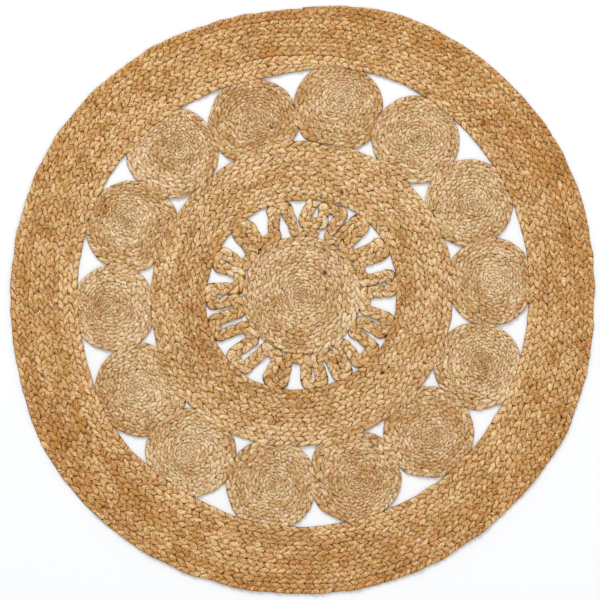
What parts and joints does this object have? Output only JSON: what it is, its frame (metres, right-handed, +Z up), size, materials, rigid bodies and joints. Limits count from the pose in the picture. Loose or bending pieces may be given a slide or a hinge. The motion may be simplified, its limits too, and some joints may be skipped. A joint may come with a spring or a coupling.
{
  "type": "round jute rug",
  "caption": "Flat round rug of sewn jute braid: a wide outer band, a ring of coiled medallions with open gaps, an inner band, open braid loops and a coiled centre disc.",
  "frame": {"origin": "on the floor under the middle of the rug", "axes": "+Z up out of the rug's face; +Y towards the side with the start of the loop braid"},
  "size_m": [1.1902, 1.1978, 0.0085],
  "materials": {
    "band_jute": "coarse braided jute, matt",
    "coil_jute": "finer coiled jute braid, paler, matt"
  },
  "bodies": {
    "root": {"outer_band": "band_jute", "medallion_01": "coil_jute", "medallion_02": "coil_jute", "medallion_03": "coil_jute", "medallion_04": "coil_jute", "medallion_05": "coil_jute", "medallion_06": "coil_jute", "medallion_07": "coil_jute", "medallion_08": "coil_jute", "medallion_09": "coil_jute", "medallion_10": "coil_jute", "medallion_11": "coil_jute", "medallion_12": "coil_jute", "medallion_13": "coil_jute", "medallion_14": "coil_jute", "inner_band": "band_jute", "loop_braid": "band_jute", "centre_disc": "coil_jute"}
  },
  "joints": []
}
